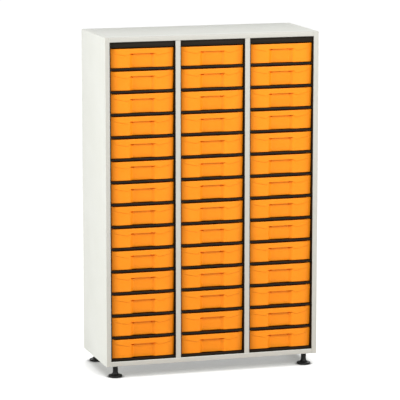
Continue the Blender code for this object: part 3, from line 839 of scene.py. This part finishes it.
def foot_profile(height, base):
    """Points (radius, z) down the foot: a straight stem that flares into a base with a thick rounded edge."""
    points = [(0, height), (STEM_RADIUS - STEM_ARRIS, height), (STEM_RADIUS, height - STEM_ARRIS),
              (STEM_RADIUS, FLARE_TOP + STEM_SHOULDER)]
    for i in range(FLARE_POINTS + 1):
        angle = math.pi / 2 * i / FLARE_POINTS
        points.append((STEM_RADIUS + (base - BASE_EDGE_RADIUS - STEM_RADIUS) * (1 - math.cos(angle)),
                       FLARE_TOP - (FLARE_TOP - BASE_EDGE) * math.sin(angle)))
    for i in range(1, BASE_EDGE_POINTS + 1):
        angle = math.pi / 2 * i / BASE_EDGE_POINTS
        points.append((base - BASE_EDGE_RADIUS * (1 - math.sin(angle)),
                       BASE_EDGE - BASE_EDGE_RADIUS * (1 - math.cos(angle))))
    # Softened lower edge, the ring that stands on the floor, and the hollow inside it
    points += [(base, 1.8 * MM), (base - 0.5 * MM, 0.6 * MM), (base - 1.6 * MM, 0)]
    points += [(base - 9 * MM, 0), (base - 9.6 * MM, SOLE_HOLLOW), (0, SOLE_HOLLOW)]
    return points


def add_feet(material):
    """The four turned feet, each on its own body."""
    for place in FOOT_PLACES:
        node = "foot_" + place
        low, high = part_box(node)
        centre = (low + high) / 2
        mesh = turned_mesh(node, foot_profile(high.z, (high.x - low.x) / 2), FOOT_STEPS)
        mesh.transform(Matrix.Translation((centre.x, centre.y, 0)))
        body = "levelling_foot_" + place
        add_piece(node + "_moulding", smooth_mesh(mesh, TURNED_SHARP), (material,), body, "black_foot", node)


def dress_studs(material):
    """The feet's studs keep their CAD shape and get their metal."""
    for node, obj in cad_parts.items():
        if node.endswith("_stud"):
            obj.data.materials.clear()
            obj.data.materials.append(material)


# Floor, light and camera


def seen_rays(tree):
    """1 for the rays in which the background is seen: straight from the camera, in a reflection or through glass."""
    ray = add_node(tree, "ShaderNodeLightPath").outputs
    seen = ray["Is Camera Ray"]
    for name in ("Is Glossy Ray", "Is Transmission Ray"):
        seen = add_node(tree, "ShaderNodeMath", {"operation": "MAXIMUM"}, {0: seen, 1: ray[name]}).outputs[0]
    return seen


def floor_material():
    """Studio floor paint: pale and matt. It shows white where nothing stands near. Round what stands on it, its glow
    and its colour are turned down by how closed in each spot is: a painted, even grey shadow."""
    material, tree = new_material("studio_floor_paint")
    seen = seen_rays(tree)
    near = add_node(tree, "ShaderNodeAmbientOcclusion", {"samples": OPEN_SAMPLES}, {"Distance": SHADOW_REACH})
    # Painted shadow: the glow is turned down where the floor is closed in by what stands on it.
    level = add_node(tree, "ShaderNodeValToRGB", inputs={"Fac": near.outputs["AO"]})
    stops = level.color_ramp.elements
    stops.remove(stops[1])
    for share, value in SHADOW_GLOW:
        stops.new(share).color = (value, value, value, 1)
    stops.remove(stops[0])
    touch = add_node(tree, "ShaderNodeAmbientOcclusion", {"samples": OPEN_SAMPLES}, {"Distance": TOUCH_REACH})
    open_floor = add_node(tree, "ShaderNodeMapRange", inputs={
        "Value": touch.outputs["AO"], "From Min": TOUCH_OPEN, "From Max": 1.0, "To Min": TOUCH_GLOW, "To Max": 1.0})
    bright = add_node(tree, "ShaderNodeMath", {"operation": "MULTIPLY"}, {
        0: open_floor.outputs[0], 1: level.outputs["Color"]})
    lift = add_node(tree, "ShaderNodeMath", {"operation": "MULTIPLY"}, {0: seen, 1: bright.outputs[0]})
    # Painted contact shadow: the paint turns greyer where the floor is closed in close to a foot.
    contact_shaded_paint = add_node(tree, "ShaderNodeMix", {"data_type": "RGBA"}, {
        "Factor": open_floor.outputs[0], 6: srgb("848483"), 7: srgb("CBCBC9")})
    matt = add_node(tree, "ShaderNodeBsdfDiffuse", inputs={"Color": contact_shaded_paint.outputs[2]})
    glow = add_node(tree, "ShaderNodeEmission", inputs={"Color": srgb("FFFFFF"), "Strength": lift.outputs[0]})
    both = add_node(tree, "ShaderNodeAddShader", inputs={0: matt.outputs[0], 1: glow.outputs[0]})
    add_node(tree, "ShaderNodeOutputMaterial", inputs={"Surface": both.outputs[0]})
    return material


def add_floor():
    """A wide flat floor at the height of the feet's soles."""
    bm = bmesh.new()
    bmesh.ops.create_grid(bm, x_segments=2, y_segments=2, size=FLOOR_HALF)
    mesh = bpy.data.meshes.new("studio_floor")
    bm.to_mesh(mesh)
    bm.free()
    mesh.materials.append(floor_material())
    floor = bpy.data.objects.new("studio_floor", mesh)
    bpy.context.scene.collection.objects.link(floor)


def add_world():
    """Even light from the room, which is seen as plain white."""
    world = bpy.data.worlds.new("studio")
    world.use_nodes = True
    tree = world.node_tree
    tree.nodes.clear()
    light = add_node(tree, "ShaderNodeBackground", inputs={"Color": srgb("FFFFFF"), "Strength": ROOM_LIGHT})
    white = add_node(tree, "ShaderNodeBackground", inputs={"Color": srgb("FFFFFF"), "Strength": WHITE_LIGHT})
    seen = add_node(tree, "ShaderNodeMixShader", inputs={
        "Fac": seen_rays(tree), 1: light.outputs[0], 2: white.outputs[0]})
    add_node(tree, "ShaderNodeOutputWorld", inputs={"Surface": seen.outputs[0]})
    bpy.context.scene.world = world


def add_soft_box(name, place, target, width, height, power):
    """A large rectangular soft light, aimed at a point."""
    data = bpy.data.lights.new(name, "AREA")
    data.shape = "RECTANGLE"
    data.size, data.size_y = width, height
    data.energy = power
    lamp = bpy.data.objects.new(name, data)
    lamp.location = place
    lamp.rotation_euler = (Vector(target) - Vector(place)).to_track_quat("-Z", "Y").to_euler()
    bpy.context.scene.collection.objects.link(lamp)


def add_camera():
    """The photograph's point of view."""
    data = bpy.data.cameras.new("photo_view")
    data.sensor_width = VIEW_SENSOR
    data.lens = VIEW_LENS
    data.clip_end = VIEW_FAR
    camera = bpy.data.objects.new("photo_view", data)
    level = math.cos(VIEW_ELEVATION)
    back = Vector((
        math.sin(VIEW_AZIMUTH) * level, -math.cos(VIEW_AZIMUTH) * level, math.sin(VIEW_ELEVATION)))
    camera.location = VIEW_TARGET + back * VIEW_DISTANCE
    camera.rotation_euler = (math.pi / 2 - VIEW_ELEVATION, 0, VIEW_AZIMUTH)
    bpy.context.scene.collection.objects.link(camera)
    bpy.context.scene.camera = camera


def main():
    """Dresses the cabinet and sets up the studio."""
    bpy.context.scene.view_settings.view_transform = "Standard"
    add_boards(
        melamine_material(), edging_material("white_abs_edging_upright", "Z"),
        edging_material("white_abs_edging_level", "X"))
    # The liner's warm brown tint is painted orange light, spilled on it from the trays.
    add_liners(black_plastic_material("black_abs_liner", "19130B", "20190F", 0.5, 0.12))
    add_trays(tray_material())
    add_feet(black_plastic_material("black_nylon_foot", "0E0E0D", "161615", 0.45, 0.2))
    zinc = zinc_material()
    add_back_screws(zinc)
    dress_studs(zinc)
    add_floor()
    add_world()
    for soft_box in SOFT_BOXES:
        add_soft_box(*soft_box)
    add_camera()


main()
